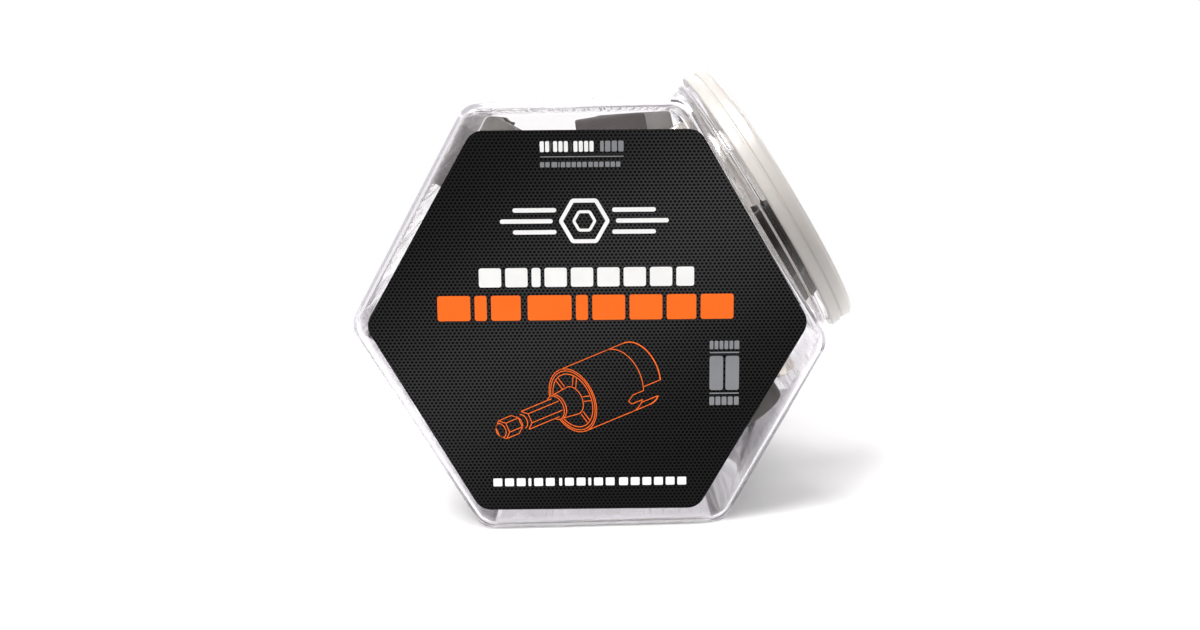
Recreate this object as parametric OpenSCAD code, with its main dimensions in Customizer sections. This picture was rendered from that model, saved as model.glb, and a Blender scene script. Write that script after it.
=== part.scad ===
// Six-sided counter jar of string winders with quarter-inch hex bit shanks.
// The jar stands on one flat. Its printed panel faces -Y and its mouth looks
// up and to the right, square to the upper right flat.

/* [Jar] */
// Distance across the flats of the jar body
body_flats = 120; // [119.5:0.1:121]
// Depth of the jar body, front to back
body_depth = 104; // [103.8:0.1:106]
// Distance from the jar's middle to the flat that carries the neck
mouth_flat = 52; // [51.8:0.1:52.4]
// Wall thickness of the jar
wall = 1.4; // [1.2:0.1:1.4]
// Radius of the six long corners
corner_r = 6; // [5.5:0.5:6.5]
// Radius of the edges round the front and back panels
edge_r = 4; // [3:0.5:4]

/* [Neck and lid] */
// Outer radius of the neck
neck_r = 42.2; // [41.8:0.1:42.4]
// Wall thickness of the neck
neck_wall = 2.2; // [2:0.1:2.2]
// Distance that the neck sits off the middle of its flat, towards the low end
neck_shift = 2; // [1.5:0.5:2.5]
// Distance from the jar's middle to the lip of the neck
neck_top = 63; // [62.8:0.1:63]
// Distance from the jar's middle to the free edge of the lid's skirt
lid_edge = 57.2; // [57:0.1:58]
// Distance from the jar's middle to the outer face of the lid
lid_top = 64.8; // [64.8:0.1:66]
// Outer radius of the lid at the free edge of its skirt
lid_r = 44.8; // [44.6:0.1:46]

/* [Label] */
// Distance across the flats of the label
label_flats = 106.4; // [100:0.2:107]
// Thickness of the label
label_t = 0.3; // [0.2:0.05:0.5]

/* [Winder] */
// Outer diameter of the winder's barrel
barrel_d = 24.8; // [24:0.1:24.8]
// Length of the barrel
barrel_l = 30; // [29:0.1:30]
// Length of the soft collar round the open end
collar_l = 8; // [6:0.5:9]
// Bore inside the soft liner, which takes the tuner's button
socket_d = 19.6; // [18:0.1:19.8]
// Depth of that bore
socket_depth = 18; // [16:0.5:18]
// Width across the flats of the bit shank
shank_flats = 6.35; // [6.3:0.01:6.35]
// Length from the barrel's rear rim to the tip of the shank
shank_reach = 34; // [32:0.5:34]

/* [Hidden] */
body_mid = body_flats / 2;
layer_pitch = (body_depth - 2 * wall) / 4;
seat = 0.3;
tilt_mouth = 60;
neck_foot = 40;
bore_foot = 30;
bead_at = 54.6;
bead_h = 1.2;
bead_out = 0.9;
mark_r = 9;
mark_groove_r = 0.4;
mark_shift = -4;
skirt_h = 3;
skirt_draft = 0.2;
groove_h = 0.8;
groove_deep = 0.5;
band_in = 0.6;
lid_bevel = 1;
rim_w = 5;
rim_up = 0.4;
lid_gap = 0.4;
plug_t = 1.2;
plug_h = 2.6;
overlap = 0.1;
label_shift = [-2.9, -0.8];
label_turn = 1;
label_corner = 5.3;
barrel_r = barrel_d / 2;
socket_r = socket_d / 2;
liner_t = 0.9;
collar_t = 0.8;
collar_edge = 0.7;
recess = 5;
hub_r = 5.45;
hub_end_r = 4.6;
hub_l = 8.2;
rim_t = 2;
ribs = 6;
rib_t = 1.4;
rib_drop = 1.2;
shank_r = shank_flats / sqrt(3);
shank_root = 6;
detent_from_tip = 10.9;
detent_w = 3.6;
detent_r = 2.7;
tip_chamfer = 1;
slot_w = 7;
slot_l = 8;
pin_w = 4;
pin_l = 14.8;
facets = 48;
slice_t = 0.02;

// Angle of each layer's rows above +X, from the front layer to the back one
LAYER_TURN = [-60, -60, 0, 60];

// One entry a winder: layer, place across the rows, place of the rear rim
// along the rows, the way that the shank points, lean and spin in degrees
PLACES = [
    [0, 37.1, 9.5, 1, 0, 20],
    [0, 20.5, 18, -1, 0, 80],
    [0, 3.9, 5, 1, 0, 150],
    [0, -12.7, 14, -1, 0, 260],
    [0, -29.3, -6.3, 1, 0, 310],
    [0, -45.9, 2, -1, 0, 40],
    [1, 46.5, 1.5, -1, 0, 250],
    [1, 28, 0, 1, 0, 100],
    [1, 9.5, 12, -1, 1, 30],
    [1, -8.9, 6, 1, -1, 200],
    [1, -27.4, 10, -1, 1, 140],
    [1, -45.9, -2, 1, 0, 330],
    [2, 41.3, -4, -1, 8, 60],
    [2, 19.7, -5, 1, 0, 120],
    [2, 3.3, 5, -1, 0, 10],
    [2, -13.1, -6, 1, 0, 230],
    [2, -29.5, 6, -1, 0, 290],
    [2, -45.9, -2.4, 1, 0, 170],
    [3, 45.9, 2, -1, 0, 90],
    [3, 28.2, -6.5, 1, 0, 210],
    [3, 10.5, 8, -1, 1, 350],
    [3, -7.2, -12, 1, -1, 50],
    [3, -24.9, 6, -1, 0, 130],
    [3, -42.6, -3, 1, 0, 270]
];
DRAWN = 6;

function flat_angle(i) = 30 + 60 * i;

function flat_dist(i) = (i % 6 == 0 ? mouth_flat : body_mid);

// Where the walls i and i + 1 meet after both move inwards by an inset
function corner(i, inset) =
    let (a = flat_angle(i), b = flat_angle(i + 1),
         p = flat_dist(i) - inset, q = flat_dist(i + 1) - inset)
    [(p * sin(b) - q * sin(a)) / sin(b - a), (q * cos(a) - p * cos(b)) / sin(b - a)];

function place_id(k) = str("winder_", k < 9 ? "0" : "", k + 1);

module at_mid() {
    translate([0, 0, body_mid]) children();
}

// Moves a shape made on +Z to the neck's axis
module on_neck() {
    at_mid() rotate([0, tilt_mouth, 0]) translate([neck_shift, 0, 0]) children();
}

// Rounded six-sided block, moved inwards on every side by an inset
module body_block(inset, edge) {
    half = body_depth / 2 - inset;
    hull()
        for (side = [-1, 1], step = [0:15:90], i = [0:5]) {
            in = edge * (1 - cos(step));
            c = corner(i, corner_r + inset);
            translate([c[0], side * (half - edge * (1 - sin(step))), c[1]])
                rotate([90 * side, 0, 0])
                    cylinder(r = corner_r - in, h = slice_t, $fn = 32);
        }
}

module jar_body() {
    color([0.93, 0.94, 0.95, 0.3]) {
        difference() {
            union() {
                at_mid() body_block(0, edge_r);
                on_neck() translate([0, 0, neck_foot])
                    cylinder(r = neck_r, h = neck_top - neck_foot, $fn = 96);
                on_neck() translate([0, 0, bead_at]) cylinder(r = neck_r + bead_out, h = bead_h, $fn = 96);
            }
            at_mid() body_block(wall, edge_r - wall);
            on_neck() translate([0, 0, bore_foot])
                cylinder(r = neck_r - neck_wall, h = neck_top - bore_foot + 1, $fn = 96);
            // Ring mark moulded in the wall opposite the mouth
            at_mid() rotate([0, tilt_mouth + 180, 0]) translate([mark_shift, 0, body_mid])
                rotate_extrude($fn = 64) translate([mark_r, 0]) circle(r = mark_groove_r, $fn = 16);
        }
    }
}

module front_label() {
    edge = label_flats / 2 - label_corner;
    color([0.07, 0.07, 0.07])
        at_mid() translate([label_shift[0], -body_depth / 2, label_shift[1]])
            rotate([90, label_turn, 0])
                linear_extrude(label_t)
                    hull()
                        for (i = [0:5])
                            rotate(60 * i) translate([edge / cos(30), 0]) circle(r = label_corner, $fn = 48);
}

module lid() {
    skirt_top = lid_edge + skirt_h;
    band_r = lid_r - band_in;
    color([0.87, 0.84, 0.82, 0.8])
        on_neck()
            difference() {
                union() {
                    translate([0, 0, lid_edge])
                        cylinder(r1 = lid_r, r2 = lid_r - skirt_draft, h = skirt_h, $fn = 128);
                    translate([0, 0, skirt_top - overlap])
                        cylinder(r = band_r - groove_deep, h = groove_h + 2 * overlap, $fn = 128);
                    translate([0, 0, skirt_top + groove_h])
                        cylinder(r = band_r, h = lid_top - lid_bevel - skirt_top - groove_h, $fn = 128);
                    translate([0, 0, lid_top - lid_bevel])
                        cylinder(r1 = band_r, r2 = band_r - lid_bevel, h = lid_bevel, $fn = 128);
                }
                translate([0, 0, lid_edge - 1])
                    cylinder(r = neck_r + lid_gap, h = neck_top + seat - lid_edge + 1, $fn = 128);
                // Shallow panel inside a raised outer rim
                translate([0, 0, lid_top - rim_up]) cylinder(r = band_r - rim_w, h = 1, $fn = 128);
            }
    // Ring that plugs the mouth
    color([0.87, 0.84, 0.82, 0.8])
        on_neck() translate([0, 0, neck_top - plug_h])
            difference() {
                cylinder(r = neck_r - neck_wall - seat, h = plug_h + seat + overlap, $fn = 128);
                translate([0, 0, -1])
                    cylinder(r = neck_r - neck_wall - seat - plug_t, h = plug_h + seat + 2, $fn = 128);
            }
}

// Stepped slot through one side of the barrel, for lifting bridge pins
module pin_slot() {
    translate([0, -slot_w / 2, -barrel_l - 1]) cube([barrel_d, slot_w, slot_l + 1]);
    translate([0, -pin_w / 2, -barrel_l - 1]) cube([barrel_d, pin_w, pin_l + 1 - pin_w / 2]);
    translate([0, 0, -barrel_l + pin_l - pin_w / 2]) rotate([0, 90, 0])
        cylinder(r = pin_w / 2, h = barrel_d, $fn = facets);
}

// Barrel with its axis on Z, open at the bottom, rear rim on the plane Z = 0
module head_shape() {
    difference() {
        union() {
            translate([0, 0, -barrel_l + collar_t])
                cylinder(r = barrel_r - collar_t, h = barrel_l - collar_t, $fn = facets);
            translate([0, 0, -barrel_l + collar_l])
                cylinder(r = barrel_r, h = barrel_l - collar_l, $fn = facets);
        }
        translate([0, 0, -barrel_l - 1]) cylinder(r = socket_r + liner_t, h = socket_depth + 1, $fn = facets);
        pin_slot();
        // Recess in the rear, with ribs from the rim to the hub
        difference() {
            translate([0, 0, -recess]) cylinder(r = barrel_r - rim_t, h = recess + 1, $fn = facets);
            translate([0, 0, -recess - 1]) cylinder(r = hub_r, h = recess + 3, $fn = facets);
            for (i = [0:ribs - 1])
                rotate(360 / ribs * i) translate([0, -rib_t / 2, -recess - 1])
                    cube([barrel_r, rib_t, recess + 1 - rib_drop]);
        }
        translate([0, 0, -shank_root]) cylinder(r = shank_r, h = shank_root + 1, $fn = 6);
    }
    difference() {
        translate([0, 0, -slice_t]) cylinder(r1 = hub_r, r2 = hub_end_r, h = hub_l + slice_t, $fn = facets);
        translate([0, 0, -1]) cylinder(r = shank_r, h = hub_l + 2, $fn = 6);
    }
}

// Soft sleeve in the socket, turned back over the open end as a collar
module liner_shape() {
    difference() {
        union() {
            translate([0, 0, -barrel_l + collar_edge])
                cylinder(r = barrel_r, h = collar_l - collar_edge, $fn = facets);
            translate([0, 0, -barrel_l])
                cylinder(r1 = barrel_r - collar_edge, r2 = barrel_r, h = collar_edge, $fn = facets);
        }
        difference() {
            translate([0, 0, -barrel_l + collar_t])
                cylinder(r = barrel_r - collar_t, h = collar_l, $fn = facets);
            translate([0, 0, -barrel_l]) cylinder(r = socket_r + liner_t, h = collar_l + 1, $fn = facets);
        }
        translate([0, 0, -barrel_l - 1]) cylinder(r = socket_r, h = collar_l + 2, $fn = facets);
        pin_slot();
    }
    difference() {
        translate([0, 0, -barrel_l + collar_l - slice_t])
            cylinder(r = socket_r + liner_t, h = socket_depth - collar_l + slice_t, $fn = facets);
        translate([0, 0, -barrel_l]) cylinder(r = socket_r, h = socket_depth + 1, $fn = facets);
        pin_slot();
    }
}

// Hexagonal bit shank with its detent groove and chamfered tip
module shank_shape() {
    sleeve_r = shank_r + 1;
    difference() {
        intersection() {
            translate([0, 0, -shank_root]) cylinder(r = shank_r, h = shank_root + shank_reach, $fn = 6);
            union() {
                translate([0, 0, -shank_root - 1])
                    cylinder(r = sleeve_r, h = shank_root + 1 + shank_reach - tip_chamfer, $fn = facets);
                translate([0, 0, shank_reach - tip_chamfer])
                    cylinder(r1 = shank_r, r2 = shank_r - tip_chamfer, h = tip_chamfer, $fn = facets);
            }
        }
        translate([0, 0, shank_reach - detent_from_tip])
            difference() {
                cylinder(r = sleeve_r, h = detent_w, $fn = facets);
                translate([0, 0, -1]) cylinder(r = detent_r, h = detent_w + 2, $fn = facets);
            }
    }
}

// Puts a shape at the place of winder k
module at_place(k) {
    p = PLACES[k];
    turn = LAYER_TURN[p[0]];
    x = p[2] * cos(turn) - p[1] * sin(turn);
    z = p[2] * sin(turn) + p[1] * cos(turn);
    at_mid() translate([x, (p[0] - 1.5) * layer_pitch, z])
        rotate([0, -(turn + p[4]), 0]) rotate([0, 90 * p[3], 0]) rotate(p[5])
            children();
}

module head(k) {
    color([0.17, 0.14, 0.14]) at_place(k) head_shape();
}

module shank(k) {
    color([0.85, 0.82, 0.77]) at_place(k) shank_shape();
}

module liner(k) {
    color([0.38, 0.37, 0.36]) at_place(k) liner_shape();
}

module layer_liners(layer) {
    for (k = [0:23])
        if (PLACES[k][0] == layer && k != DRAWN) liner(k);
}

jar_body();
front_label();
lid();
for (k = [0:23]) {
    head(k);
    shank(k);
}
for (layer = [0:3])
    layer_liners(layer);
liner(DRAWN);  // winder_07_liner
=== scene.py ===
"""Looks of a six-sided clear counter jar of string winders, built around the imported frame.

The jar's walls, its label and lid, and every winder are built here at the sizes of the CAD model.
"""
import math

import bmesh
import bpy
from mathutils import Matrix, Vector


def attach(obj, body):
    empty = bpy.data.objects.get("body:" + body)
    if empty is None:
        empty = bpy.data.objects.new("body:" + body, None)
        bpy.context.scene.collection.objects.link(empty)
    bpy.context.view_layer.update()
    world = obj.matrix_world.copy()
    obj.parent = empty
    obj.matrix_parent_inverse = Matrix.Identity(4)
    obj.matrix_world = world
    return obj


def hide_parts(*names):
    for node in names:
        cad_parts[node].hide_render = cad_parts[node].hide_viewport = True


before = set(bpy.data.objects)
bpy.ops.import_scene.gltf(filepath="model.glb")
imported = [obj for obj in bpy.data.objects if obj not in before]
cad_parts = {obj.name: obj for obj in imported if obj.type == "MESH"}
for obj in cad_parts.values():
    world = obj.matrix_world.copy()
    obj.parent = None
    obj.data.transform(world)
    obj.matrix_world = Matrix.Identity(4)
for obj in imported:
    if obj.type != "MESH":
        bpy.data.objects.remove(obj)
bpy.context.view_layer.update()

MM = 0.001

# Jar, in metres
JAR_MID = 60 * MM
MOUTH_FLAT = 52 * MM
JAR_HALF_DEPTH = 52 * MM
WALL = 1.4 * MM
CORNER_R = 6 * MM
EDGE_R = 4 * MM
EDGE_STEPS = 8
CORNER_STEPS = 12

# Neck and lid, measured along the neck from the jar's middle
NECK_TILT = math.radians(60)
NECK_SHIFT = 2 * MM
NECK_R = 42.2 * MM
NECK_WALL = 2.2 * MM
NECK_FOOT = 40 * MM
NECK_TOP = 63 * MM
BEAD_LOW = 54.6 * MM
BEAD_HIGH = 55.8 * MM
BEAD_OUT = 0.9 * MM
LID_EDGE = 57.2 * MM
LID_TOP = 64.8 * MM
LID_R = 44.8 * MM
LID_BAND_IN = 0.6 * MM
LID_SKIRT_H = 3 * MM
LID_GROOVE_H = 0.8 * MM
LID_GROOVE_DEEP = 0.5 * MM
LID_BEVEL = 1 * MM
LID_RIM_W = 5 * MM
LID_RIM_UP = 0.4 * MM
LID_GAP = 0.4 * MM
PLUG_T = 1.2 * MM
PLUG_H = 2.6 * MM
ROUND_SEGMENTS = 160
LID_SEGMENTS = 192

# Ring mark in the lower left wall
MARK_RADII = (5.4 * MM, 7.2 * MM, 9 * MM)
MARK_GROOVE_R = 0.35 * MM
MARK_SHIFT = -4 * MM
MARK_TURN = math.radians(240)

# Label
LABEL_HALF_FLATS = 53.2 * MM
LABEL_CORNER = 5.3 * MM
LABEL_CENTRE = (-2.9 * MM, JAR_MID - 0.8 * MM)
LABEL_TURN = math.radians(1)
LABEL_BACK = -JAR_HALF_DEPTH - 0.02 * MM
LABEL_FACE = -JAR_HALF_DEPTH - 0.27 * MM
PRINT_LEVELS = (JAR_HALF_DEPTH + 0.25 * MM, JAR_HALF_DEPTH + 0.3 * MM)

# Winder, in its own frame: +Z along the shank, rear rim at Z = 0
BARREL_R = 12.4 * MM
BARREL_L = 30 * MM
COLLAR_L = 8 * MM
COLLAR_T = 0.8 * MM
SOCKET_R = 9.8 * MM
SOCKET_DEPTH = 18 * MM
LINER_T = 0.9 * MM
RIM_T = 2 * MM
RECESS = 5 * MM
RIBS = 6
RIB_T = 1.4 * MM
RIB_DROP = 1.2 * MM
HUB_R = 5.45 * MM
HUB_END_R = 4.6 * MM
HUB_L = 8.2 * MM
SHANK_R = 6.35 * MM / math.sqrt(3)
SHANK_ROOT = 6 * MM
SHANK_REACH = 34 * MM
HOLE_GAP = 0.04 * MM
GROOVE_LOW = 23.1 * MM
GROOVE_HIGH = 26.7 * MM
GROOVE_R = 2.7 * MM
SLOT_W = 7 * MM
SLOT_L = 8 * MM
PIN_W = 4 * MM
PIN_L = 14.8 * MM
BARREL_SEGMENTS = 72

# Angle of each layer's rows above +X, and one entry a winder: layer, place across the rows, place of the
# rear rim along them, the way that the shank points, lean and spin in degrees
LAYER_TURN = [-60, -60, 0, 60]
LAYER_PITCH = 25.3
PLACES = [
    [0, 37.1, 9.5, 1, 0, 20],
    [0, 20.5, 18, -1, 0, 80],
    [0, 3.9, 5, 1, 0, 150],
    [0, -12.7, 14, -1, 0, 260],
    [0, -29.3, -6.3, 1, 0, 310],
    [0, -45.9, 2, -1, 0, 40],
    [1, 46.5, 1.5, -1, 0, 250],
    [1, 28, 0, 1, 0, 100],
    [1, 9.5, 12, -1, 1, 30],
    [1, -8.9, 6, 1, -1, 200],
    [1, -27.4, 10, -1, 1, 140],
    [1, -45.9, -2, 1, 0, 330],
    [2, 41.3, -4, -1, 8, 60],
    [2, 19.7, -5, 1, 0, 120],
    [2, 3.3, 5, -1, 0, 10],
    [2, -13.1, -6, 1, 0, 230],
    [2, -29.5, 6, -1, 0, 290],
    [2, -45.9, -2.4, 1, 0, 170],
    [3, 45.9, 2, -1, 0, 90],
    [3, 28.2, -6.5, 1, 0, 210],
    [3, 10.5, 8, -1, 1, 350],
    [3, -7.2, -12, 1, -1, 50],
    [3, -24.9, 6, -1, 0, 130],
    [3, -42.6, -3, 1, 0, 270],
]
DRAWN = 6


# ---------------------------------------------------------------- mesh tools

def new_object(name, mesh):
    """A mesh object in the scene."""
    obj = bpy.data.objects.new(name, mesh)
    bpy.context.scene.collection.objects.link(obj)
    return obj


def mesh_object(name, points, faces):
    """An object from points and faces, with its faces turned outwards."""
    mesh = bpy.data.meshes.new(name)
    mesh.from_pydata([tuple(p) for p in points], [], faces)
    shape = bmesh.new()
    shape.from_mesh(mesh)
    bmesh.ops.recalc_face_normals(shape, faces=shape.faces)
    shape.to_mesh(mesh)
    shape.free()
    return new_object(name, mesh)


def rounded(points, steps=4):
    """A closed outline from (x, y, radius) corners, each corner turned into an arc."""
    result = []
    count = len(points)
    for i, (x, y, radius) in enumerate(points):
        here = Vector((x, y))
        if radius <= 0:
            result.append(here)
            continue
        before = (Vector(points[i - 1][:2]) - here).normalized()
        after = (Vector(points[(i + 1) % count][:2]) - here).normalized()
        half = before.angle(after) / 2
        reach = radius / math.tan(half)
        centre = here + (before + after).normalized() * (radius / math.sin(half))
        start = here + before * reach - centre
        sweep = start.angle_signed(here + after * reach - centre)
        for step in range(steps + 1):
            turn = -sweep * step / steps
            result.append(centre + Matrix.Rotation(turn, 2) @ start)
    return result


def lathe(name, outline, segments=ROUND_SEGMENTS):
    """A solid of revolution about Z from a closed outline of (radius, height)."""
    shape = bmesh.new()
    rings = []
    for radius, height in outline:
        if radius < 1e-9:
            rings.append([shape.verts.new((0, 0, height))])
            continue
        rings.append([
            shape.verts.new((
                radius * math.cos(2 * math.pi * k / segments),
                radius * math.sin(2 * math.pi * k / segments),
                height,
            ))
            for k in range(segments)
        ])
    for low, high in zip(rings, rings[1:] + rings[:1]):
        if len(low) == 1 and len(high) == 1:
            continue
        for k in range(segments):
            after = (k + 1) % segments
            corners = [low[k % len(low)], low[after % len(low)], high[after % len(high)], high[k % len(high)]]
            shape.faces.new(list(dict.fromkeys(corners)))
    bmesh.ops.recalc_face_normals(shape, faces=shape.faces)
    mesh = bpy.data.meshes.new(name)
    shape.to_mesh(mesh)
    shape.free()
    return new_object(name, mesh)


def prism(name, outline, low, high):
    """A closed outline of (x, y) pulled up from one height to another."""
    count = len(outline)
    points = [(x, y, low) for x, y in outline] + [(x, y, high) for x, y in outline]
    faces = [list(range(count))[::-1], list(range(count, 2 * count))]
    faces += [[k, (k + 1) % count, (k + 1) % count + count, k + count] for k in range(count)]
    return mesh_object(name, points, faces)


def box(name, low, high):
    """A box between two corners."""
    outline = [(low[0], low[1]), (high[0], low[1]), (high[0], high[1]), (low[0], high[1])]
    return prism(name, outline, low[2], high[2])


def bake(obj):
    """Puts an object's modifiers into its mesh."""
    graph = bpy.context.evaluated_depsgraph_get()
    mesh = bpy.data.meshes.new_from_object(obj.evaluated_get(graph))
    obj.modifiers.clear()
    obj.data = mesh


def combine(obj, operation, *others):
    """Adds to or cuts from an object, and removes the others."""
    for other in others:
        step = obj.modifiers.new(operation, "BOOLEAN")
        step.operation = operation
        step.solver = "EXACT"
        step.object = other
        bake(obj)
        bpy.data.objects.remove(other)
    return obj


def soften(obj, width, angle=40, segments=2):
    """Rounds the sharp edges and shades the rest smooth."""
    if width:
        edge = obj.modifiers.new("edge", "BEVEL")
        edge.width = width
        edge.segments = segments
        edge.limit_method = "ANGLE"
        edge.angle_limit = math.radians(angle)
        edge.harden_normals = False
        bake(obj)
    mesh = obj.data
    mesh.polygons.foreach_set("use_smooth", [True] * len(mesh.polygons))
    mesh.set_sharp_from_angle(angle=math.radians(angle))
    return obj


# ---------------------------------------------------------------- materials

def material(name, settings):
    """A Principled material with fixed socket values."""
    made = bpy.data.materials.new(name)
    made.use_nodes = True
    shader = made.node_tree.nodes["Principled BSDF"]
    for socket, value in settings.items():
        shader.inputs[socket].default_value = value
    return made


def shader_of(made):
    return made.node_tree.nodes["Principled BSDF"]


def add(made, kind, inputs=None, **settings):
    """Adds a node to a material or a world. An input is either a value or another node's output."""
    tree = made.node_tree
    node = tree.nodes.new("ShaderNode" + kind)
    for setting, value in settings.items():
        setattr(node, setting, value)
    for socket, value in (inputs or {}).items():
        if isinstance(value, bpy.types.NodeSocket):
            tree.links.new(value, node.inputs[socket])
        else:
            node.inputs[socket].default_value = value
    return node


def math_node(made, operation, *values):
    """One maths step on values or outputs."""
    return add(made, "Math", dict(enumerate(values)), operation=operation).outputs[0]


def object_point(made, scale=(1, 1, 1), turn=(0, 0, 0)):
    """The object's own coordinates, stretched and turned."""
    coords = add(made, "TexCoord").outputs["Object"]
    return add(made, "Mapping", {"Vector": coords, "Scale": scale, "Rotation": turn}).outputs[0]


def noise(made, point, scale, detail=3, roughness=0.5):
    inputs = {"Vector": point, "Scale": scale, "Detail": detail, "Roughness": roughness}
    return add(made, "TexNoise", inputs).outputs["Fac"]


def ramp(made, factor, *stops):
    """Colour or value against a factor, from (place, colour) stops."""
    node = add(made, "ValToRGB", {"Fac": factor})
    elements = node.color_ramp.elements
    while len(elements) < len(stops):
        elements.new(0.5)
    for element, (place, colour) in zip(elements, stops):
        element.position = place
        element.color = (*colour, 1) if len(colour) == 3 else colour
    return node.outputs["Color"]


def span(made, factor, low, high):
    """Stretches a 0 to 1 factor between two values."""
    inputs = {"Value": factor, "To Min": low, "To Max": high}
    return add(made, "MapRange", inputs).outputs["Result"]


def feed(made, socket, output):
    made.node_tree.links.new(output, shader_of(made).inputs[socket])


def bump(made, height, distance, strength=1.0, under=None):
    inputs = {"Height": height, "Distance": distance, "Strength": strength}
    if under is not None:
        inputs["Normal"] = under
    return add(made, "Bump", inputs).outputs["Normal"]


# Bounces after which light in the jar's walls counts as trapped there
TRAPPED_AFTER = 7


def let_lamps_through(made, colour, trapped_colour):
    """Lets lamps straight through a clear material, and dims light that has bounced about in its walls."""
    tree = made.node_tree
    path = add(made, "LightPath").outputs
    trapped = add(made, "MixShader", {
        0: math_node(made, "GREATER_THAN", path["Ray Depth"], TRAPPED_AFTER),
        1: shader_of(made).outputs[0],
        2: add(made, "BsdfTransparent", {"Color": (*trapped_colour, 1)}).outputs[0],
    })
    mixed = add(made, "MixShader", {
        0: path["Is Shadow Ray"],
        1: trapped.outputs[0],
        2: add(made, "BsdfTransparent", {"Color": (*colour, 1)}).outputs[0],
    })
    tree.links.new(mixed.outputs[0], tree.nodes["Material Output"].inputs["Surface"])


def clear_plastic():
    """Clear moulded plastic with faint draw lines on its sloping walls. Those walls also get a darker
    lavender colour, painted shade for the grey-lavender look they take on when seen at a slant.
    """
    made = material("clear_jar_plastic", {
        "Transmission Weight": 1.0,
        "IOR": 1.4,
    })
    facing = add(made, "SeparateXYZ", {0: add(made, "TexCoord").outputs["Normal"]}).outputs["Y"]
    flat = math_node(made, "ABSOLUTE", facing)
    # The sloping walls face neither front nor back. Their darker lavender base colour is painted shade, and
    # their draw lines go into the roughness.
    wall_shade_and_draw_lines = add(made, "MapRange", {"Value": flat, "From Min": 0.6, "From Max": 0.2}).outputs["Result"]
    feed(made, "Base Color", ramp(made, wall_shade_and_draw_lines, (0, (0.985, 0.98, 0.985)), (1, (0.84, 0.82, 0.865))))
    streaks = noise(made, object_point(made, (1, 0.03, 1)), 700, 3, 0.6)
    lines = ramp(made, streaks, (0.48, (0, 0, 0)), (0.62, (1, 1, 1)))
    feed(made, "Roughness", span(made, math_node(made, "MULTIPLY", wall_shade_and_draw_lines, lines), 0.0, 0.22))
    swell = noise(made, object_point(made), 28, 1)
    feed(made, "Normal", bump(made, swell, 0.1 * MM, 0.1))
    let_lamps_through(made, (0.92, 0.915, 0.92), (0.62, 0.6, 0.65))
    return made


def milky_plastic():
    """Cloudy plastic that lets light through, with a fine grain."""
    made = material("milky_lid_plastic", {
        "Transmission Weight": 0.6,
        "IOR": 1.5,
        "Subsurface Weight": 0.3,
        "Subsurface Radius": (0.006, 0.005, 0.0045),
    })
    cloud = noise(made, object_point(made), 30, 4)
    feed(made, "Base Color", ramp(made, cloud, (0.3, (0.75, 0.725, 0.70)), (0.7, (0.82, 0.80, 0.78))))
    feed(made, "Roughness", span(made, cloud, 0.24, 0.34))
    grain = noise(made, object_point(made), 2200, 2)
    feed(made, "Normal", bump(made, grain, 0.02 * MM, 0.3))
    let_lamps_through(made, (0.66, 0.645, 0.63), (0.8, 0.79, 0.78))
    return made


def label_weave():
    """Near-black card printed with a staggered dot weave. Its colour is made lighter along one broad diagonal
    band and towards its right side.
    """
    made = material("woven_label", {"Specular IOR Level": 0.04, "Roughness": 0.7})
    pitch = 1.148 * MM
    row = 0.898 * MM
    glow_at, glow_width = 6 * MM, 30 * MM
    point = add(made, "TexCoord").outputs["Object"]
    axes = add(made, "SeparateXYZ", {0: point}).outputs
    rows = math_node(made, "DIVIDE", axes["Z"], row)
    shift = math_node(made, "MULTIPLY", math_node(made, "FLOOR", rows), 0.5)
    column = math_node(made, "ADD", math_node(made, "DIVIDE", axes["X"], pitch), shift)
    across = math_node(made, "SUBTRACT", math_node(made, "FRACT", column), 0.5)
    up = math_node(made, "SUBTRACT", math_node(made, "FRACT", rows), 0.5)
    wide = math_node(made, "MULTIPLY", across, across)
    tall = math_node(made, "MULTIPLY", math_node(made, "MULTIPLY", up, up), 0.75)
    apart = math_node(made, "SQRT", math_node(made, "ADD", wide, tall))
    thread = add(made, "MapRange", {"Value": apart, "From Min": 0.24, "From Max": 0.46}).outputs["Result"]
    fibre = noise(made, object_point(made), 2600, 2)
    colour = ramp(made, thread, (0, (0.0012, 0.0012, 0.0012)), (1, (0.06, 0.06, 0.062)))
    # The weave's colour is scaled up along a broad diagonal band and towards +X, and down away from them.
    slope = Vector((-0.518, 0, 0.856))
    across_band = add(made, "VectorMath", {0: point, 1: slope}, operation="DOT_PRODUCT").outputs["Value"]
    off = math_node(made, "DIVIDE", math_node(made, "SUBTRACT", across_band, glow_at), glow_width)
    off_squared = math_node(made, "MULTIPLY", off, off)
    glow = math_node(made, "POWER", math.e, math_node(made, "MULTIPLY", off_squared, -1.0))
    to_right = add(made, "MapRange", {
        "Value": axes["X"],
        "From Min": -JAR_MID,
        "From Max": JAR_MID,
        "To Min": 0.7,
        "To Max": 1.15,
    }).outputs["Result"]
    tone = math_node(made, "MULTIPLY", span(made, glow, 0.2, 0.8), to_right)
    tone = math_node(made, "MULTIPLY", tone, span(made, fibre, 0.8, 1.2))
    feed(made, "Base Color", add(made, "VectorMath", {0: colour, 1: tone}, operation="MULTIPLY").outputs[0])
    feed(made, "Normal", bump(made, thread, 0.04 * MM, 0.35))
    return made


def ink(name, colour):
    """Printed ink, a little uneven in tone and gloss."""
    made = material(name, {"Specular IOR Level": 0.25})
    cloud = noise(made, object_point(made), 160, 3)
    low = tuple(0.96 * c for c in colour)
    feed(made, "Base Color", ramp(made, cloud, (0.35, low), (0.65, colour)))
    feed(made, "Roughness", span(made, cloud, 0.42, 0.6))
    feed(made, "Normal", bump(made, noise(made, object_point(made), 1800, 2), 0.02 * MM, 0.2))
    return made


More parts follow.
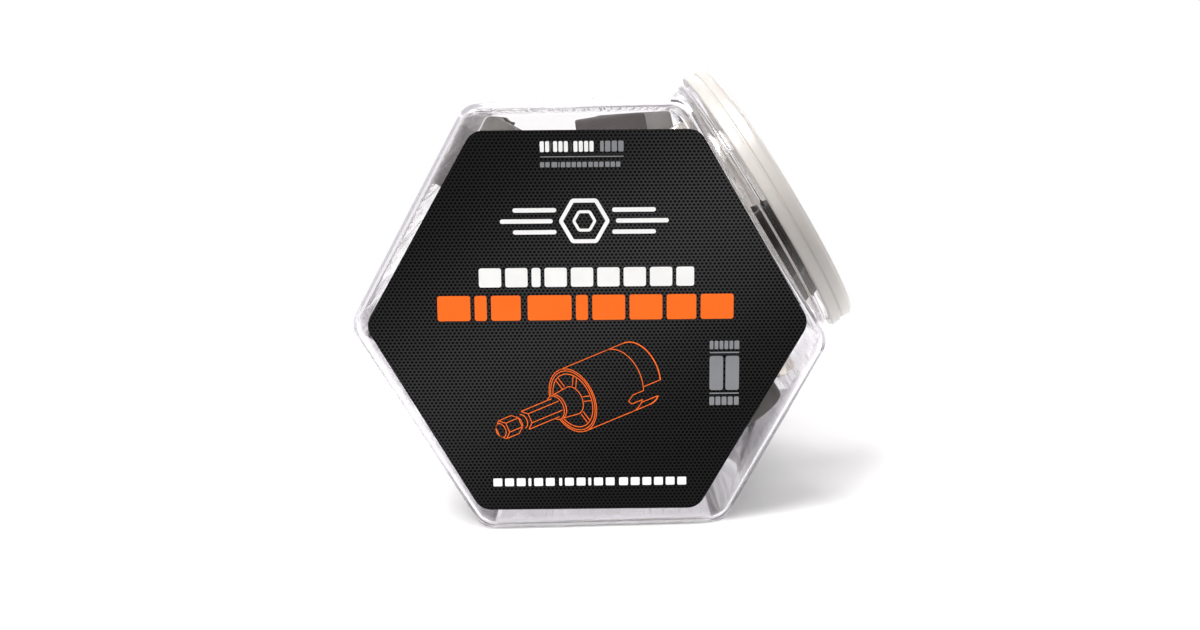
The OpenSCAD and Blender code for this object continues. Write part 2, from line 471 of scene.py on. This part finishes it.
def barrel_plastic():
    """Brown-black plastic with a faint ripple."""
    made = material("barrel_plastic", {"IOR": 1.5, "Specular IOR Level": 0.2})
    cloud = noise(made, object_point(made), 90, 4)
    feed(made, "Base Color", ramp(made, cloud, (0.3, (0.015, 0.011, 0.0095)), (0.7, (0.027, 0.02, 0.0175))))
    feed(made, "Roughness", span(made, cloud, 0.4, 0.55))
    ripple = noise(made, object_point(made), 220, 1)
    feed(made, "Normal", bump(made, ripple, 0.02 * MM, 0.2))
    return made


def rubber():
    """Matt dark grey rubber."""
    made = material("grey_rubber", {"IOR": 1.5, "Specular IOR Level": 0.2, "Sheen Weight": 0.1})
    cloud = noise(made, object_point(made), 140, 4)
    feed(made, "Base Color", ramp(made, cloud, (0.3, (0.08, 0.076, 0.07)), (0.7, (0.115, 0.11, 0.1))))
    feed(made, "Roughness", span(made, cloud, 0.68, 0.85))
    grain = noise(made, object_point(made), 1100, 3)
    feed(made, "Normal", bump(made, grain, 0.03 * MM, 0.3))
    return made


def plated_steel():
    """Nickel-plated steel, drawn lengthwise."""
    made = material("nickel_plate", {"Metallic": 1.0})
    drawn = noise(made, object_point(made, (1, 1, 0.03)), 1400, 4, 0.65)
    patch = noise(made, object_point(made), 120, 3)
    feed(made, "Base Color", ramp(made, patch, (0.3, (0.78, 0.73, 0.66)), (0.7, (0.88, 0.84, 0.78))))
    feed(made, "Roughness", span(made, drawn, 0.2, 0.34))
    feed(made, "Normal", bump(made, drawn, 0.02 * MM, 0.35))
    return made


# ---------------------------------------------------------------- jar

def jar_corner(i, inset):
    """Where walls i and i + 1 meet after both move inwards."""
    a, b = math.radians(30 + 60 * i), math.radians(90 + 60 * i)
    p = (MOUTH_FLAT if i % 6 == 0 else JAR_MID) - inset
    q = (MOUTH_FLAT if (i + 1) % 6 == 0 else JAR_MID) - inset
    turn = math.sin(b - a)
    x = (p * math.sin(b) - q * math.sin(a)) / turn
    z = (q * math.cos(a) - p * math.cos(b)) / turn
    return x, z


def jar_outline(inset, shrink):
    """The six-sided outline with round corners, each arc shrunk about its own centre."""
    points = []
    for i in range(6):
        x, z = jar_corner(i, CORNER_R + inset)
        radius = CORNER_R - shrink
        for step in range(CORNER_STEPS + 1):
            turn = math.radians(30 + 60 * i + 60 * step / CORNER_STEPS)
            points.append((x + radius * math.cos(turn), JAR_MID + z + radius * math.sin(turn)))
    return points


def jar_block(name, inset):
    """The jar's rounded block, moved inwards on every side."""
    edge = EDGE_R - inset
    half = JAR_HALF_DEPTH - inset
    rings = []
    for step in range(EDGE_STEPS + 1):
        turn = math.pi / 2 * (1 - step / EDGE_STEPS)
        rings.append((edge * (1 - math.cos(turn)), half - edge * (1 - math.sin(turn))))
    levels = [(shrink, -depth) for shrink, depth in rings] + rings[::-1]
    points = []
    for shrink, depth in levels:
        points += [(x, depth, z) for x, z in jar_outline(inset, shrink)]
    count = len(points) // len(levels)
    faces = [list(range(count)), list(range(len(points) - count, len(points)))[::-1]]
    for level in range(len(levels) - 1):
        for k in range(count):
            after = (k + 1) % count
            low, high = level * count, (level + 1) * count
            faces.append([low + k, low + after, high + after, high + k])
    return mesh_object(name, points, faces)


NECK_PLACE = (
    Matrix.Translation((0, 0, JAR_MID))
    @ Matrix.Rotation(NECK_TILT, 4, "Y")
    @ Matrix.Translation((NECK_SHIFT, 0, 0))
)


def on_neck(obj):
    obj.data.transform(NECK_PLACE)
    return obj


def make_jar():
    """The clear jar: block, neck and bead, hollowed out, with the mould's ring mark."""
    shell = jar_block("clear_jar", 0)
    neck = lathe("neck", rounded([
        (0, NECK_FOOT, 0),
        (NECK_R, NECK_FOOT, 0),
        (NECK_R, BEAD_LOW, 0.3 * MM),
        (NECK_R + BEAD_OUT, BEAD_LOW, 0.4 * MM),
        (NECK_R + BEAD_OUT, BEAD_HIGH, 0.4 * MM),
        (NECK_R, BEAD_HIGH, 0.3 * MM),
        (NECK_R, NECK_TOP, 0.8 * MM),
        (0, NECK_TOP, 0),
    ]))
    bore_r, lip_r = NECK_R - NECK_WALL, NECK_R - NECK_WALL + 0.6 * MM
    bore_low, bore_high = NECK_FOOT - 10 * MM, NECK_TOP + 2 * MM
    bore = lathe("bore", [
        (0, bore_low),
        (bore_r, bore_low),
        (bore_r, NECK_TOP - 0.5 * MM),
        (lip_r, NECK_TOP + 0.1 * MM),
        (lip_r, bore_high),
        (0, bore_high),
    ])
    combine(shell, "UNION", on_neck(neck))
    combine(shell, "DIFFERENCE", jar_block("inside", WALL), on_neck(bore))
    mark_place = (
        Matrix.Translation((0, 0, JAR_MID))
        @ Matrix.Rotation(MARK_TURN, 4, "Y")
        @ Matrix.Translation((MARK_SHIFT, 0, JAR_MID))
    )
    steps = [math.radians(45 * k) for k in range(8)]
    for radius in MARK_RADII:
        groove = [(radius + MARK_GROOVE_R * math.cos(a), MARK_GROOVE_R * math.sin(a)) for a in steps]
        ring = lathe("ring", groove, 64)
        ring.data.transform(mark_place)
        combine(shell, "DIFFERENCE", ring)
    soften(shell, 0, 35)
    shell.data.materials.clear()
    shell.data.materials.append(clear_plastic())
    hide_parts("jar_body")
    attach(shell, "jar")


def make_lid():
    """The press-on lid: skirt, groove, second band, raised rim and the plug ring inside."""
    band_r = LID_R - LID_BAND_IN
    gap_r = NECK_R + LID_GAP
    plug_out = NECK_R - NECK_WALL - 0.3 * MM
    plug_in = plug_out - PLUG_T
    plug_end = NECK_TOP - PLUG_H
    under = NECK_TOP + 0.3 * MM
    middle = LID_TOP - LID_RIM_UP
    groove_low = LID_EDGE + LID_SKIRT_H
    groove_high = groove_low + LID_GROOVE_H
    groove_r = band_r - LID_GROOVE_DEEP
    lid = lathe("milky_lid", rounded([
        (0, middle, 0),
        (band_r - LID_RIM_W - 0.2 * MM, middle, 0.3 * MM),
        (band_r - LID_RIM_W + 0.2 * MM, LID_TOP, 0.3 * MM),
        (band_r - LID_BEVEL, LID_TOP, 0.5 * MM),
        (band_r, LID_TOP - LID_BEVEL, 0.5 * MM),
        (band_r, groove_high, 0.3 * MM),
        (groove_r, groove_high - 0.2 * MM, 0.15 * MM),
        (groove_r, groove_low + 0.1 * MM, 0.15 * MM),
        (LID_R - 0.2 * MM, groove_low - 0.1 * MM, 0.3 * MM),
        (LID_R, LID_EDGE, 0.5 * MM),
        (gap_r, LID_EDGE, 0.4 * MM),
        (gap_r, under, 0.4 * MM),
        (plug_out, under, 0.4 * MM),
        (plug_out, plug_end, 0.3 * MM),
        (plug_in, plug_end, 0.3 * MM),
        (plug_in, under, 0.4 * MM),
        (0, under, 0),
    ]), LID_SEGMENTS)
    on_neck(lid)
    soften(lid, 0, 35)
    lid.data.materials.append(milky_plastic())
    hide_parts("lid")
    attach(lid, "lid")


# ---------------------------------------------------------------- label and its print

# Where the label stands, and the same for its print, drawn in X and Y with Z towards the viewer
LABEL_MIDDLE = Matrix.Translation((LABEL_CENTRE[0], 0, LABEL_CENTRE[1]))
LABEL_FRAME = LABEL_MIDDLE @ Matrix.Rotation(LABEL_TURN, 4, "Y")
UPRIGHT = Matrix.Rotation(math.pi / 2, 4, "X")
LABEL_PLACE = LABEL_FRAME @ UPRIGHT


def hexagon(radius, corner, turn=0):
    """Corners of a hexagon, each with the same rounding."""
    angles = [math.radians(60 * k + turn) for k in range(6)]
    return [(radius * math.cos(a), radius * math.sin(a), corner) for a in angles]


def make_label():
    sharp_r = LABEL_HALF_FLATS / math.cos(math.radians(30))
    label = prism("woven_label", rounded(hexagon(sharp_r, LABEL_CORNER), 10), 0, LABEL_BACK - LABEL_FACE)
    soften(label, 0.06 * MM)
    label.data.transform(UPRIGHT @ Matrix.Translation((0, 0, -LABEL_BACK)))
    label.matrix_world = LABEL_FRAME
    label.data.materials.append(label_weave())
    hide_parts("front_label")
    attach(label, "jar")


class Print:
    """Flat shapes of one ink, gathered into one piece on the label. Lengths are in millimetres."""

    def __init__(self, name, made):
        self.name = name
        self.made = made
        self.shape = bmesh.new()

    def area(self, outline):
        """A filled outline, pulled out to the print's thickness."""
        low, high = PRINT_LEVELS
        front = [self.shape.verts.new((x * MM, y * MM, high)) for x, y in outline]
        back = [self.shape.verts.new((x * MM, y * MM, low)) for x, y in outline]
        self.shape.faces.new(front)
        self.shape.faces.new(back[::-1])
        for k in range(len(outline)):
            self.shape.faces.new([front[k - 1], back[k - 1], back[k], front[k]])

    def block(self, left, right, low, high, corner=0.3):
        corners = [(left, low, corner), (right, low, corner), (right, high, corner), (left, high, corner)]
        self.area(rounded(corners, 3))

    def row(self, left, right, low, high, shares, gap):
        """A row of blocks whose widths follow the shares; a share of 0 leaves a wide gap."""
        spaces = sum(1 if share else 1.6 for share in shares[1:])
        unit = (right - left - gap * spaces) / sum(shares)
        x = left
        for share in shares:
            if share:
                self.block(x, x + unit * share, low, high, min(0.12 * (high - low), 0.6))
                x += unit * share + gap
            else:
                x += gap * 0.6
        return x

    def line(self, points, width, closed=False):
        """A drawn line of one width with mitred corners."""
        count = len(points)
        points = [Vector(p) for p in points]
        sides = []
        for k, point in enumerate(points):
            before = points[k - 1] if (k or closed) else None
            after = points[(k + 1) % count] if (k + 1 < count or closed) else None
            arrive = (point - before).normalized() if before is not None else None
            leave = (after - point).normalized() if after is not None else arrive
            arrive = arrive or leave
            along = (arrive + leave).normalized()
            across = Vector((-along.y, along.x))
            reach = width / 2 / max(0.4, abs(across.dot(Vector((-leave.y, leave.x)))))
            sides.append((point + across * reach, point - across * reach))
        low, high = PRINT_LEVELS
        loops = []
        for left, right in sides:
            loops.append([
                self.shape.verts.new((p.x * MM, p.y * MM, h))
                for p, h in ((left, low), (left, high), (right, high), (right, low))
            ])
        pairs = zip(loops, loops[1:] + loops[:1]) if closed else zip(loops, loops[1:])
        for start, end in pairs:
            for k in range(4):
                self.shape.faces.new([start[k], start[k - 1], end[k - 1], end[k]])
        if not closed:
            self.shape.faces.new(loops[0])
            self.shape.faces.new(loops[-1][::-1])

    def finish(self):
        bmesh.ops.recalc_face_normals(self.shape, faces=self.shape.faces)
        mesh = bpy.data.meshes.new(self.name)
        self.shape.to_mesh(mesh)
        self.shape.free()
        piece = new_object(self.name, mesh)
        piece.matrix_world = LABEL_PLACE
        mesh.materials.append(self.made)
        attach(piece, "jar")


def make_print():
    """Plain blocks stand where a real label has its words and marks."""
    white = Print("white_print", ink("white_ink", (0.93, 0.93, 0.925)))
    white.row(-12.4, 2.8, 47.3, 50.2, [3, 3, 1, 3, 3, 3, 0, 1, 0, 3, 3, 3, 3], 0.35)
    white.row(-29.7, 29.4, 10.5, 15.8, [5, 5, 2, 5, 5, 5, 5, 5, 4], 1.1)
    white.row(-27, 29, -46.3, -44, [3, 3, 3, 1, 3, 3, 0, 1, 3, 3, 1, 3, 3, 0, 3, 3, 3, 3, 3, 3], 0.8)
    for radius, width in ((6.4, 1.1), (2.9, 0.8)):
        corners = rounded(hexagon(radius, 0.7), 4)
        white.line([(x - 0.6, y + 28.6) for x, y in corners], width, True)
    for side in (-1, 1):
        for height, reach in ((31.6, 19.5), (28.6, 23), (25.6, 19.5)):
            near = 8.6 if height == 28.6 else 7.6
            ends = sorted((side * near - 0.6, side * reach - 0.6))
            white.block(ends[0], ends[1], height - 0.6, height + 0.6, 0.55)
    white.finish()

    orange = Print("orange_print", ink("orange_ink", (1.0, 0.16, 0.011)))
    orange.row(-41.3, 41.5, 1.2, 8.2, [6, 2.2, 5.4, 0, 8, 2.2, 6, 6, 5.4, 6], 1.2)
    draw_winder(orange)
    orange.finish()

    grey = Print("grey_print", ink("grey_ink", (0.24, 0.245, 0.26)))
    grey.row(3.9, 10.2, 47.3, 50.2, [2, 3, 3, 3], 0.35)
    grey.block(-12.4, 10.2, 45.9, 46.15, 0.1)
    grey.row(-12.4, 10.2, 43.2, 44.6, [3, 3, 0, 4, 1, 3, 3, 3, 3, 3, 0, 3, 3, 3, 0, 3, 3, 3], 0.3)
    grey.row(33.8, 42, -7.4, -5, [3, 3, 3, 3, 3, 4], 0.35)
    grey.block(33.8, 42, -8.5, -8.15, 0.1)
    grey.row(33.8, 42, -19, -9.3, [1, 1], 0.7)
    grey.block(33.8, 42, -20.1, -19.75, 0.1)
    grey.row(33.8, 42, -23.3, -20.9, [3, 3, 3, 3, 3], 0.35)
    grey.finish()


def draw_winder(drawing):
    """A line drawing of the winder, seen from behind and to one side. Lengths are in millimetres."""
    scale = 0.765
    along, open_up = 0.843, 0.629
    page = math.radians(22.6)
    tip = Vector((-math.cos(page), -math.sin(page)))
    side = Vector((-math.sin(page), math.cos(page)))
    origin = Vector((-4.3, -21.6))
    thin, bold = 0.21, 0.32
    barrel, open_end, collar = BARREL_R / MM, -BARREL_L / MM, (COLLAR_L - BARREL_L) / MM
    hub, hub_end, hub_top = HUB_R / MM, HUB_END_R / MM, HUB_L / MM
    shank, shank_top = SHANK_R / MM, SHANK_REACH / MM
    groove, groove_low, groove_high = GROOVE_R / MM, GROOVE_LOW / MM, GROOVE_HIGH / MM
    slot_mid, slot_half = -132, 16.2

    def flat(x, y, z):
        """A point in the winder's own frame on the page."""
        return origin + scale * (x * side + (z * along + y * open_up) * tip)

    def arc(radius, z, start, end, width=thin):
        """Part of a circle round the axis. Angles below 0 are on the side that faces away from the tip."""
        steps = round((end - start) / 7.5)
        whole = end - start == 360
        count = steps if whole else steps + 1
        angles = [math.radians(start + (end - start) * k / steps) for k in range(count)]
        drawing.line([flat(radius * math.cos(a), radius * math.sin(a), z) for a in angles], width, whole)

    def stroke(*points):
        drawing.line([flat(*p) for p in points], thin)

    for radius in (barrel, barrel - 0.8, barrel - 2):
        hidden = math.degrees(math.asin(4.8 / radius))
        arc(radius, 0, 90 + hidden, 450 - hidden)
    for z, width in ((open_end, bold), (collar, thin)):
        arc(barrel, z, -180, slot_mid - slot_half, width)
        arc(barrel, z, slot_mid + slot_half, 0, width)
    for edge in (-1, 1):
        stroke((edge * barrel, 0, 0), (edge * barrel, 0, open_end))
        stroke((edge * hub, 0, 0), (edge * hub_end, 0, hub_top))
    arc(hub, 0, -180, 0)
    arc(hub_end + 0.1, hub_top - 1, -180, 0)
    arc(hub_end, hub_top, 143, 397)
    for k in range(RIBS):
        turn = math.radians(60 * k + 20)
        if math.sin(turn) < 0.5:
            out = Vector((math.cos(turn), math.sin(turn)))
            for offset in (-0.9, 0.9):
                beside = Vector((-out.y, out.x)) * offset
                stroke((*(out * 6 + beside), 0), (*(out * 10 + beside), 0))

    corners = [Vector((x, y)) for x, y, _ in hexagon(shank, 0)]
    shown = [corners[k] for k in (3, 4, 5, 0)]
    before, after = groove_low - 0.5, groove_high + 0.5
    for x, y in shown:
        stroke((x, y, hub_top), (x, y, before))
        stroke((x, y, after), (x, y, shank_top - 0.8))
    for z in (before, after):
        stroke(*((x, y, z) for x, y in shown))
    drawing.line([flat(x, y, shank_top - 0.8) for x, y in corners], thin, True)
    arc(groove, shank_top, 0, 360)
    for z in (groove_low + 0.7, groove_high - 0.5):
        arc(groove, z, -180, 0)

    middle = math.radians(slot_mid)
    edge = [(-30, 3.5), (-22, 3.5), (-22, 2), (-17, 2), (-15.2, 0)]
    slot = edge + [(z, -across) for z, across in edge[-2::-1]]
    stroke(*(
        (barrel * math.cos(middle + across / barrel), barrel * math.sin(middle + across / barrel), z)
        for z, across in slot
    ))


# ---------------------------------------------------------------- winders

def pin_slot():
    """Cutters for the stepped slot through one side of the barrel."""
    open_end = -BARREL_L - 1 * MM
    wide = box("wide", (0, -SLOT_W / 2, open_end), (2 * BARREL_R, SLOT_W / 2, -BARREL_L + SLOT_L))
    narrow_end = -BARREL_L + PIN_L
    corners = [
        (open_end, -PIN_W / 2, 0),
        (narrow_end, -PIN_W / 2, PIN_W / 2 * 0.98),
        (narrow_end, PIN_W / 2, PIN_W / 2 * 0.98),
        (open_end, PIN_W / 2, 0),
    ]
    narrow = prism("narrow", rounded(corners, 8), 0, 2 * BARREL_R)
    narrow.data.transform(Matrix(((0, 0, 1, 0), (0, 1, 0, 0), (1, 0, 0, 0), (0, 0, 0, 1))))
    narrow.data.flip_normals()
    return wide, narrow


def hex_bar(name, radius, low, high):
    return prism(name, [(x, y) for x, y, _ in hexagon(radius, 0)], low, high)


def finished_mesh(obj, made):
    """Gives a shape its one material and keeps only its mesh."""
    mesh = obj.data
    mesh.materials.clear()
    mesh.materials.append(made)
    bpy.data.objects.remove(obj)
    return mesh


def head_mesh():
    """The barrel: socket in front, ribbed recess and hub behind."""
    sleeve_r = SOCKET_R + LINER_T
    seat_r = BARREL_R - COLLAR_T
    inner_r = BARREL_R - RIM_T
    floor = -BARREL_L + SOCKET_DEPTH
    head = lathe("head", rounded([
        (0, floor, 0),
        (sleeve_r, floor, 0),
        (sleeve_r, -BARREL_L + COLLAR_T, 0),
        (seat_r, -BARREL_L + COLLAR_T, 0),
        (seat_r, -BARREL_L + COLLAR_L, 0),
        (BARREL_R, -BARREL_L + COLLAR_L, 0.25 * MM),
        (BARREL_R, 0, 0.6 * MM),
        (inner_r, 0, 0.4 * MM),
        (inner_r, -RECESS, 0.5 * MM),
        (HUB_R, -RECESS, 0.5 * MM),
        (HUB_R, 0, 0),
        (HUB_END_R, HUB_L, 0.6 * MM),
        (0, HUB_L, 0),
    ], 3), BARREL_SEGMENTS)
    for k in range(RIBS):
        rib = box(
            "rib",
            (HUB_R - 0.6 * MM, -RIB_T / 2, -RECESS - 0.4 * MM),
            (inner_r + 0.6 * MM, RIB_T / 2, -RIB_DROP),
        )
        rib.data.transform(Matrix.Rotation(2 * math.pi * k / RIBS, 4, "Z"))
        combine(head, "UNION", rib)
    combine(head, "DIFFERENCE", *pin_slot())
    hole = hex_bar("hole", SHANK_R + HOLE_GAP, -SHANK_ROOT - HOLE_GAP, HUB_L + 1 * MM)
    combine(head, "DIFFERENCE", hole)
    soften(head, 0.12 * MM, 42, 1)
    return finished_mesh(head, barrel_plastic())


def liner_mesh():
    """The soft sleeve, turned back over the open end as a collar."""
    sleeve_r = SOCKET_R + LINER_T
    seat_r = BARREL_R - COLLAR_T
    liner = lathe("liner", rounded([
        (SOCKET_R, -BARREL_L, 0.3 * MM),
        (BARREL_R, -BARREL_L, 0.7 * MM),
        (BARREL_R, -BARREL_L + COLLAR_L, 0.25 * MM),
        (seat_r, -BARREL_L + COLLAR_L, 0),
        (seat_r, -BARREL_L + COLLAR_T, 0),
        (sleeve_r, -BARREL_L + COLLAR_T, 0),
        (sleeve_r, -BARREL_L + SOCKET_DEPTH, 0),
        (SOCKET_R, -BARREL_L + SOCKET_DEPTH, 0),
    ], 4), BARREL_SEGMENTS)
    combine(liner, "DIFFERENCE", *pin_slot())
    soften(liner, 0.1 * MM, 42, 1)
    return finished_mesh(liner, rubber())


def shank_mesh():
    """The hexagonal bit shank with its detent groove and chamfered tip."""
    shank = hex_bar("shank", SHANK_R, -SHANK_ROOT, SHANK_REACH)
    turned = lathe("turned", rounded([
        (0, -SHANK_ROOT - 1 * MM, 0),
        (5 * MM, -SHANK_ROOT - 1 * MM, 0),
        (5 * MM, GROOVE_LOW - 0.9 * MM, 0),
        (GROOVE_R, GROOVE_LOW, 0.5 * MM),
        (GROOVE_R, GROOVE_HIGH, 0.5 * MM),
        (5 * MM, GROOVE_HIGH + 0.9 * MM, 0),
        (5 * MM, SHANK_REACH - 2.3 * MM, 0),
        (SHANK_R - 1 * MM, SHANK_REACH, 0),
        (0, SHANK_REACH, 0),
    ], 4), 48)
    combine(shank, "INTERSECT", turned)
    soften(shank, 0.1 * MM, 25)
    return finished_mesh(shank, plated_steel())


def winder_place(k):
    """Where winder k lies in the jar, apart from its spin."""
    layer, across, rim, way, lean, _ = PLACES[k]
    turn = math.radians(LAYER_TURN[layer])
    x = rim * math.cos(turn) - across * math.sin(turn)
    z = rim * math.sin(turn) + across * math.cos(turn)
    return (
        Matrix.Translation((x * MM, (layer - 1.5) * LAYER_PITCH * MM, JAR_MID + z * MM))
        @ Matrix.Rotation(-turn - math.radians(lean), 4, "Y")
        @ Matrix.Rotation(math.pi / 2 * way, 4, "Y")
    )


def make_winders():
    """Every winder's head, shank and sleeve, turned by its own spin."""
    head, shank, liner = head_mesh(), shank_mesh(), liner_mesh()
    for k, place in enumerate(PLACES):
        number = f"{k + 1:02d}"
        body = "drawn_winder" if k == DRAWN else "jar"
        sleeve = f"winder_{number}_liner" if k == DRAWN else f"liners_layer_{place[0] + 1}"
        for name, mesh, slot, node in (
            (f"barrel_{number}", head, "barrel", f"winder_{number}_head"),
            (f"bit_shank_{number}", shank, "bit_steel", f"winder_{number}_shank"),
            (f"rubber_sleeve_{number}", liner, "liner_rubber", sleeve),
        ):
            spun = mesh.copy()
            spun.transform(Matrix.Rotation(math.radians(place[-1]), 4, "Z"))
            piece = new_object(name, spun)
            piece.matrix_world = winder_place(k)
            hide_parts(node)
            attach(piece, body)


# ---------------------------------------------------------------- studio

FLOOR_HALF = 4.0
# The dark card's two edges in Y, and the distances over which the floor fades to white, in metres
CARD_FROM, CARD_TO = -0.2, -0.08
FADE_FROM, FADE_TO = 0.16, 0.34

CAMERA_PLACE = (0, -0.4, 0.123)
CAMERA_LENS = 38.4
CAMERA_PAN, CAMERA_TILT, CAMERA_ROLL = math.radians(-0.1), math.radians(80), math.radians(-1.5)


def make_floor():
    """A pale floor that runs out to white. Reflections see a dark card over its front part."""
    made = material("pale_floor", {"Roughness": 0.9, "Specular IOR Level": 0.1})
    point = add(made, "TexCoord").outputs["Object"]
    axes = add(made, "SeparateXYZ", {0: point}).outputs
    seen = add(made, "LightPath").outputs["Is Camera Ray"]
    card = {"Value": axes["Y"], "From Min": CARD_FROM, "From Max": CARD_TO}
    back = add(made, "MapRange", card).outputs["Result"]
    pale = math_node(made, "MAXIMUM", seen, back)
    feed(made, "Base Color", ramp(made, pale, (0, (0.06, 0.06, 0.065)), (1, (0.9, 0.9, 0.905))))
    away = add(made, "VectorMath", {0: point}, operation="LENGTH").outputs["Value"]
    fade = {"Value": away, "From Min": FADE_FROM, "From Max": FADE_TO}
    far = add(made, "MapRange", fade).outputs["Result"]
    bright = add(made, "Emission", {"Color": (1, 1, 1, 1)}).outputs[0]
    mixed = add(made, "MixShader", {
        0: math_node(made, "MULTIPLY", far, seen), 1: shader_of(made).outputs[0], 2: bright})
    surface = made.node_tree.nodes["Material Output"].inputs["Surface"]
    made.node_tree.links.new(mixed.outputs[0], surface)
    half = FLOOR_HALF
    corners = [(-half, -half, 0), (half, -half, 0), (half, half, 0), (-half, half, 0)]
    floor = mesh_object("floor", corners, [[0, 1, 2, 3]])
    floor.data.materials.append(made)


def area_light(name, place, target, size, power, colour=(1, 1, 1)):
    """A rectangular lamp that faces a target."""
    lamp = bpy.data.lights.new(name, "AREA")
    lamp.shape = "RECTANGLE"
    lamp.size, lamp.size_y = size
    lamp.energy = power
    lamp.color = colour
    obj = bpy.data.objects.new(name, lamp)
    obj.location = place
    obj.rotation_euler = (Vector(target) - Vector(place)).to_track_quat("-Z", "Y").to_euler()
    bpy.context.scene.collection.objects.link(obj)


def make_world():
    """White to the camera. To everything else, bright above and behind the object and dark before it."""
    world = bpy.data.worlds.new("studio")
    bpy.context.scene.world = world
    world.use_nodes = True
    world.node_tree.nodes.clear()
    axes = add(world, "SeparateXYZ", {0: add(world, "TexCoord").outputs["Generated"]}).outputs
    room_colour = ramp(world, axes["Z"], (0, (1.0, 0.985, 0.985)), (0.5, (0.85, 0.84, 0.84)))
    away = {"Value": axes["Y"], "From Min": -0.5, "From Max": 0.3, "To Min": 0.6, "To Max": 1.1}
    strength = add(world, "MapRange", away).outputs[0]
    mixed = add(world, "MixShader", {
        0: add(world, "LightPath").outputs["Is Camera Ray"],
        1: add(world, "Background", {"Color": room_colour, "Strength": strength}).outputs[0],
        2: add(world, "Background", {"Color": (1, 1, 1, 1)}).outputs[0],
    })
    add(world, "OutputWorld", {"Surface": mixed.outputs[0]})


def make_studio():
    make_floor()
    make_world()
    area_light("key", (-0.36, -0.42, 1.0), (0, 0, 0.05), (0.45, 0.45), 12.5, (1, 0.99, 0.975))
    area_light("front", (0.2, -1.0, 0.7), (0, 0, 0.06), (0.8, 0.5), 2.0)
    area_light("back", (0.3, 0.8, 0.7), (0, 0, 0.06), (0.9, 0.5), 3.0)


def make_camera():
    """Stands before the label and looks 10 degrees down."""
    camera = bpy.data.cameras.new("camera")
    camera.sensor_width = 36
    camera.lens = CAMERA_LENS
    camera.clip_start = 0.01
    obj = bpy.data.objects.new("camera", camera)
    bpy.context.scene.collection.objects.link(obj)
    obj.matrix_world = (
        Matrix.Translation(CAMERA_PLACE)
        @ Matrix.Rotation(CAMERA_PAN, 4, "Z")
        @ Matrix.Rotation(CAMERA_TILT, 4, "X")
        @ Matrix.Rotation(CAMERA_ROLL, 4, "Z")
    )
    bpy.context.scene.camera = obj


def set_colours():
    """Plain view colours, and how many bounces light is followed for."""
    scene = bpy.context.scene
    scene.view_settings.view_transform = "Standard"
    scene.view_settings.look = "None"
    scene.cycles.max_bounces = 24
    scene.cycles.transmission_bounces = 20
    scene.cycles.glossy_bounces = 16
    scene.cycles.transparent_max_bounces = 24


make_camera()
set_colours()
make_studio()
make_jar()
make_lid()
make_label()
make_print()
make_winders()
